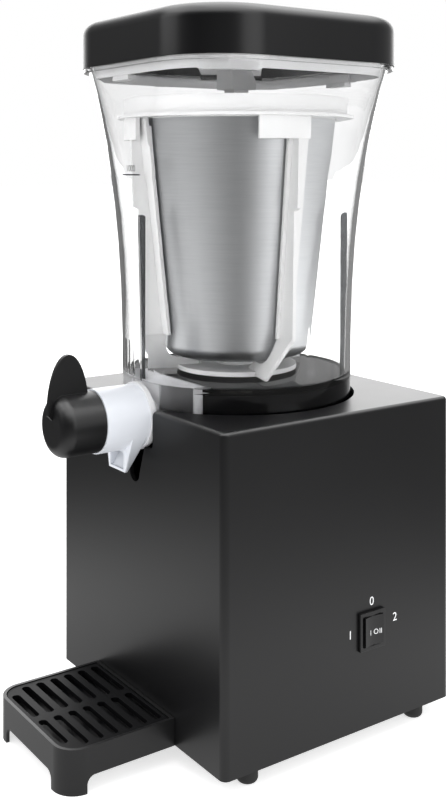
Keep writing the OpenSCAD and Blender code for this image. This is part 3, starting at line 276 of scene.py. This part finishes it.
def start_edit(piece):
    bpy.ops.object.select_all(action="DESELECT")
    piece.select_set(True)
    bpy.context.view_layer.objects.active = piece
    bpy.ops.object.mode_set(mode="EDIT")
    bpy.ops.mesh.select_all(action="SELECT")


def end_edit():
    bpy.ops.object.mode_set(mode="OBJECT")


def apply_modifier(piece, kind, **settings):
    bpy.ops.object.modifier_add(type=kind)
    modifier = piece.modifiers[-1]
    for key, value in settings.items():
        setattr(modifier, key, value)
    bpy.ops.object.modifier_apply(modifier=modifier.name)


def finish_piece(piece, material, nodes, body, angle=30.0):
    bpy.ops.object.select_all(action="DESELECT")
    piece.select_set(True)
    bpy.context.view_layer.objects.active = piece
    bpy.ops.object.shade_smooth_by_angle(angle=math.radians(angle))
    apply_modifier(piece, "WEIGHTED_NORMAL", keep_sharp=True)
    piece.data.materials.clear()
    piece.data.materials.append(material)
    if nodes:
        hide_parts(nodes)
    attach(piece, body)


def moulded_copy(node, name, material, body, edge=0.0, angle=30.0):
    weld_gap, flat_angle, crease_angle = 0.00002, math.radians(0.5), math.radians(38)
    piece = bpy.data.objects.new(name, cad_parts[node].data.copy())
    scene.collection.objects.link(piece)
    start_edit(piece)
    bpy.ops.mesh.remove_doubles(threshold=weld_gap)
    bpy.ops.mesh.dissolve_limited(angle_limit=flat_angle)
    end_edit()
    if edge:
        apply_modifier(piece, "BEVEL", width=edge, segments=3, limit_method="ANGLE",
                       angle_limit=crease_angle, miter_outer="MITER_ARC")
    finish_piece(piece, material, node, body, angle)
    return piece


def paint_faces(piece, material, wanted):
    piece.data.materials.append(material)
    corners = piece.data.vertices
    for face in piece.data.polygons:
        if wanted([corners[index].co for index in face.vertices], face):
            face.material_index = len(piece.data.materials) - 1


housing_black = moulded_plastic("housing_black", (0.0045, 0.0045, 0.005), 0.34, 0.000007)
moulded_copy("base_housing", "housing_shell", housing_black, "base")

# Bottom plate, feet and fasteners: a black plate closes the base, rubber feet are pegged into it.
# The screws are zinc-plated steel.
inner_black = moulded_plastic("inner_black", (0.005, 0.005, 0.0055), 0.45, 0.00001)
foot_rubber = moulded_plastic("foot_rubber", (0.012, 0.012, 0.012), 0.65, 0.00003)
dress("base_plate", inner_black)
dress("feet", foot_rubber)


def turned_metal(name, colour, roughness, stretch):
    streak_scale, streak_detail, streak_depth = 60.0, 4.0, 0.00001
    tone_down = 0.82
    smoothest, streak_matt = roughness - 0.06, 0.12
    finish = new_finish(name, Metallic=1.0)
    streak = grain(finish, streak_scale, streak_detail, stretch)
    darker = tuple(c * tone_down for c in colour) + (1.0,)
    finish.feed(finish.shader.inputs["Base Color"], finish.mix(streak, darker, colour + (1.0,)))
    finish.feed(finish.shader.inputs["Roughness"], smoothest + streak * streak_matt)
    bump(finish, streak, streak_depth)
    return finish.material


zinc_steel = turned_metal("zinc_steel", (0.62, 0.63, 0.65), 0.3, (1.0, 1.0, 30.0))
for node in ("plate_screws", "seat_screws", "gearbox_screws", "motor_screws"):
    dress(node, zinc_steel)

# Bowl seat: a matt black moulding screwed up under the top face.
# It forms the channel that the bowl's skirt stands in and the plinth under the bowl's floor.
seat_black = moulded_plastic("seat_black", (0.004, 0.004, 0.0045), 0.6, 0.00001, Specular_IOR_Level=0.02)
dress("bowl_seat", seat_black)

# Gear train and motor: acetal gears in a grey moulded case with brass bushes.
# A small plated direct-current motor hangs below the case on two screws.
case_grey = moulded_plastic("case_grey", (0.20, 0.21, 0.22), 0.5, 0.00002)
acetal = moulded_plastic("acetal", (0.74, 0.71, 0.64), 0.42, 0.00001)
bush_brass = turned_metal("bush_brass", (0.75, 0.56, 0.24), 0.3, (1.0, 1.0, 30.0))
can_steel = turned_metal("can_steel", (0.52, 0.53, 0.55), 0.34, (1.0, 1.0, 12.0))
winding = moulded_plastic("winding", (0.30, 0.12, 0.05), 0.35, 0.00004)
ferrite = moulded_plastic("ferrite", (0.06, 0.06, 0.065), 0.6, 0.00003)
dress("gearbox_case", case_grey)
dress("gearbox_cover", case_grey)
dress("output_gear", acetal)
dress("idler_gear", acetal)
dress("output_bushes", bush_brass)
dress("motor_pinion", bush_brass)
for node in ("idler_axle", "output_shaft", "motor_shaft"):
    dress(node, zinc_steel)
dress("motor_can", can_steel)
dress("motor_magnets", ferrite)
dress("motor_armature", winding)
dress("motor_end_cap", inner_black)
dress("drive_dog", inner_black)

# Rocker switch: a snap-in frame with a three-place rocker, both in satin black.
# The rocker carries printed strokes and a ring, and plain numbers stand beside the frame.
switch_black = moulded_plastic("switch_black", (0.007, 0.007, 0.0075), 0.36, 0.00001)
moulded_copy("switch_frame", "switch_bezel", switch_black, "base", edge=0.0005)
moulded_copy("rocker", "switch_rocker_key", switch_black, "switch_rocker", edge=0.0004)
dress("switch_terminals", bush_brass)
print_white = moulded_plastic("print_white", (0.86, 0.87, 0.88), 0.5, 0.00001)


def printed_mark(name, text, height, place, turn, material, body):
    capital_share, print_depth = 0.72, 0.00002
    bpy.ops.object.select_all(action="DESELECT")
    bpy.ops.object.text_add()
    mark = bpy.context.object
    mark.name = name
    mark.data.body = text
    mark.data.align_x = "CENTER"
    mark.data.align_y = "CENTER"
    mark.data.size = height / capital_share
    mark.data.extrude = print_depth
    bpy.ops.object.convert(target="MESH")
    mark.rotation_euler = [math.radians(angle) for angle in turn]
    mark.location = place
    bpy.ops.object.transform_apply(location=True, rotation=True, scale=True)
    finish_piece(mark, material, None, body)


side_face_x, number_height = 0.10004, 0.0055
for name, text, y, z in (("mark_rest", "0", 0.0590, 0.0887), ("mark_one", "1", 0.0410, 0.0713),
                         ("mark_two", "2", 0.0790, 0.0742)):
    printed_mark("switch_" + name, text, number_height, (side_face_x, y, z), (90, 0, 90),
                 print_white, "base")
rocker_middle = Vector((0.1021, 0.05825, 0.0701))
rocker_lean, stroke_height, stroke_lift = 10.86, 0.0033, 0.00004
for name, text, across in (("stroke", "I", -0.0024), ("ring", "O", 0.0021), ("strokes", "II", 0.0055)):
    out = abs(across) * math.tan(math.radians(rocker_lean)) + stroke_lift
    lean = rocker_lean if across < 0 else -rocker_lean
    printed_mark("rocker_" + name, text, stroke_height, rocker_middle + Vector((out, across, 0.0)),
                 (90, 0, 90 + lean), print_white, "switch_rocker")

# Low-voltage inlet: a bought-in barrel socket in the rear face, held by a nut inside.
# Its shell is black plastic and its nut plated steel.
dress("dc_inlet", inner_black)
dress("dc_inlet_nut", zinc_steel)


# Bowl: clear moulding, round at the foot and square at the mouth, with fins and an outlet socket.
# The fins' faces are tinted dark as painted shade for the dark lines along the fins, the outlet sump is
# frosted, and the skirt's inner face mirrors little.
# The spindle runs in a plain bush with a lip seal, and a printed line and number mark the fill height.
def clear_plastic(name, tint, roughness, clearness=1.0, bend=1.47):
    haze_scale, tone_up = 25.0, 1.01
    finish = new_finish(name, Transmission_Weight=clearness, IOR=bend)
    haze = grain(finish, haze_scale)
    paler = tuple(min(1.0, c * tone_up) for c in tint) + (1.0,)
    finish.feed(finish.shader.inputs["Base Color"], finish.mix(haze, tint + (1.0,), paler))
    finish.feed(finish.shader.inputs["Roughness"], haze * roughness)
    return finish.material


bowl_clear = clear_plastic("bowl_clear", (0.985, 0.986, 0.988), 0.02)
bowl = moulded_copy("bowl", "bowl_moulding", bowl_clear, "bowl_set", angle=25.0)
# Painted shade: the fins' faces get a dark tinted clear finish that stands in for the dark lines seen
# along the clear fins.
fin_painted_shade = clear_plastic("fin_painted_shade", (0.10, 0.105, 0.11), 0.1, 0.8)
bowl_axis = Vector((0.0, 0.02575))
fin_inner_r, fin_edge_r, wall_inner_r = 0.0690, 0.0718, 0.0747
fin_foot, fin_top = 0.2255, 0.3335
side_on = 0.5


def on_fin(corners, face):
    reach = face.center.xy - bowl_axis
    across = abs(face.normal.xy.dot(reach.normalized())) < side_on and reach.length < wall_inner_r
    at_height = fin_foot < face.center.z < fin_top
    return at_height and fin_inner_r < reach.length and (across or reach.length < fin_edge_r)


paint_faces(bowl, fin_painted_shade, on_fin)
sump_frosted = clear_plastic("sump_frosted", (0.96, 0.96, 0.98), 0.8, 0.3)
sump_half, sump_back, bowl_floor = 0.0425, -0.0235, 0.2265


def on_sump(corners, face):
    return all(abs(c.x) < sump_half and c.y < sump_back and c.z < bowl_floor for c in corners)


paint_faces(bowl, sump_frosted, on_sump)
skirt_clear = clear_plastic("skirt_clear", (0.985, 0.986, 0.988), 0.02, bend=1.08)
floor_under, skirt_inner_r, face_down = 0.2215, 0.0748, -0.9


def in_skirt(corners, face):
    inner_wall = all((c.xy - bowl_axis).length > skirt_inner_r for c in corners)
    below_floor = all(c.z < floor_under for c in corners) and not on_sump(corners, face)
    return below_floor and (inner_wall or face.normal.z < face_down)


paint_faces(bowl, skirt_clear, in_skirt)
dress("spindle_bush", acetal)
dress("spindle_seal", foot_rubber)
print_black = moulded_plastic("print_black", (0.02, 0.02, 0.022), 0.5, 0.00001)
fill_place = Vector((-0.0042, -0.05545, 0.3579))
fill_number_up = Vector((0.0, -0.0004, 0.0040))
fill_lean, fill_number_height = 93.6, 0.0042
line_long, line_wide, line_round, line_depth = 0.022, 0.0009, 0.0004, 0.00004
printed_mark("fill_number", "1000", fill_number_height, fill_place + fill_number_up, (fill_lean, 0, 0),
             print_black, "bowl_set")
bpy.ops.object.select_all(action="DESELECT")
bpy.ops.mesh.primitive_plane_add(size=1.0)
fill_line = bpy.context.object
fill_line.name = "fill_line"
start_edit(fill_line)
bpy.ops.transform.resize(value=(line_long, line_wide, 1.0))
bpy.ops.mesh.bevel(offset=line_round, segments=4, affect="VERTICES", clamp_overlap=False)
bpy.ops.mesh.select_all(action="SELECT")
bpy.ops.mesh.extrude_region_move(TRANSFORM_OT_translate={"value": (0.0, 0.0, line_depth)})
bpy.ops.mesh.select_all(action="SELECT")
bpy.ops.mesh.normals_make_consistent(inside=False)
end_edit()
fill_line.rotation_euler = (math.radians(fill_lean), 0.0, 0.0)
fill_line.location = fill_place
bpy.ops.object.transform_apply(location=True, rotation=True, scale=True)
finish_piece(fill_line, print_black, None, "bowl_set")

# Tap: white moulded body pushed into the bowl's socket, with a leaning spout below.
# A black plug turns in it, moved by a knob with a thumb fin, and rubber rings seal both.
tap_white = moulded_plastic("tap_white", (0.745, 0.77, 0.82), 0.32, 0.00001, Subsurface_Weight=0.15,
                           Subsurface_Radius=(1.0, 1.0, 1.0), Subsurface_Scale=0.003)
knob_black = moulded_plastic("knob_black", (0.005, 0.005, 0.0055), 0.36, 0.00001)
moulded_copy("tap_body", "tap_barrel", tap_white, "bowl_set", edge=0.0006)
dress("tap_oring", foot_rubber)
dress("plug_oring", foot_rubber)
dress("tap_plug", knob_black)
moulded_copy("tap_knob", "tap_knob_cap", knob_black, "tap_valve", edge=0.0007)


# Cold core: tapered aluminium can, brushed round its axis, closed by a milky cap.
# It is filled with freezing gel and stands still while the scraper turns round it.
def brushed_can(name):
    fine_scale, fine_detail, fine_stretch, fine_depth = 40.0, 5.0, (1.0, 1.0, 40.0), 0.00003
    broad_scale, broad_detail, broad_stretch = 9.0, 3.0, (1.0, 1.0, 6.0)
    dull_metal, clean_metal = (0.72, 0.735, 0.75, 1.0), (0.90, 0.91, 0.92, 1.0)
    smoothest, fine_matt, broad_matt = 0.30, 0.1, 0.08
    finish = new_finish(name, Metallic=1.0)
    fine = grain(finish, fine_scale, fine_detail, fine_stretch)
    broad = grain(finish, broad_scale, broad_detail, broad_stretch)
    finish.feed(finish.shader.inputs["Base Color"], finish.mix(fine, dull_metal, clean_metal))
    finish.feed(finish.shader.inputs["Roughness"], smoothest + fine * fine_matt + broad * broad_matt)
    bump(finish, fine, fine_depth)
    return finish.material


dress("core_can", brushed_can("core_aluminium"))

# Scraper: one milky moulding that turns round the core, ring, arms, blades and hub in one.
# A steel spindle with a black dog below carries it through the bowl's floor.
milky = moulded_plastic("milky_white", (0.88, 0.88, 0.88), 0.38, 0.00001, Subsurface_Weight=0.25,
                       Subsurface_Radius=(1.0, 1.0, 1.0), Subsurface_Scale=0.003)
dress("core_cap", milky)
moulded_copy("scraper_frame", "scraper_moulding", milky, "scraper", edge=0.0006)
dress("spindle", zinc_steel)
dress("spindle_dog", inner_black)

# Lid: satin black moulded cover with a rolled top edge, open below.
# A clear liner with a frosted rim and post snaps into it.
# The rim enters the bowl, and the post holds the core still.
lid_black = moulded_plastic("lid_black", (0.004, 0.004, 0.0045), 0.3, 0.000007)
lid_half, lid_corner, lid_height, lid_roll, lid_wall = 0.090, 0.048, 0.0315, 0.009, 0.0025
lid_place = (0.0, 0.02575, 0.4305)
open_side = -0.9
bpy.ops.object.select_all(action="DESELECT")
bpy.ops.mesh.primitive_plane_add(size=2 * lid_half, location=lid_place)
bpy.ops.object.transform_apply(location=True, rotation=True, scale=True)
lid = bpy.context.object
lid.name = "lid_shell"
start_edit(lid)
bpy.ops.mesh.bevel(offset=lid_corner, segments=24, affect="VERTICES", clamp_overlap=False)
bpy.ops.mesh.select_all(action="SELECT")
bpy.ops.mesh.extrude_region_move(TRANSFORM_OT_translate={"value": (0.0, 0.0, lid_height)})
bpy.ops.mesh.region_to_loop()
bpy.ops.mesh.bevel(offset=lid_roll, segments=10, affect="EDGES")
bpy.ops.mesh.select_all(action="SELECT")
bpy.ops.mesh.normals_make_consistent(inside=False)
bpy.ops.mesh.select_mode(type="FACE")
bpy.ops.mesh.select_all(action="DESELECT")
end_edit()
for face in lid.data.polygons:
    face.select = face.normal.z < open_side
bpy.ops.object.mode_set(mode="EDIT")
bpy.ops.mesh.delete(type="FACE")
bpy.ops.mesh.select_mode(type="VERT")
end_edit()
apply_modifier(lid, "SOLIDIFY", thickness=lid_wall, offset=-1.0)
finish_piece(lid, lid_black, "lid_cover", "lid", 40.0)
liner_clear = clear_plastic("liner_clear", (0.985, 0.986, 0.988), 0.02)
liner = moulded_copy("lid_liner", "lid_liner_hat", liner_clear, "lid")
liner_frosted = clear_plastic("liner_frosted", (0.97, 0.97, 0.975), 1.0, 0.35)
rim_top, post_half = 0.4325, 0.0099


def on_rim_or_post(corners, face):
    off_axis = max(abs(face.center.x), abs(face.center.y - bowl_axis.y))
    return face.center.z < rim_top or off_axis < post_half


paint_faces(liner, liner_frosted, on_rim_or_post)

# Drip tray and grille: black mouldings, the tray standing on two legs with two tongues in the base.
# The grille lies loose in the tray's rim and is more matt than the tray.
moulded_copy("drip_tray", "drip_tray_shell", housing_black, "tray", edge=0.0008)
grille_black = moulded_plastic("grille_black", (0.0025, 0.0025, 0.003), 0.5, 0.00001,
                               Specular_IOR_Level=0.12)
moulded_copy("drip_grille", "drip_grille_plate", grille_black, "grille", edge=0.0006)
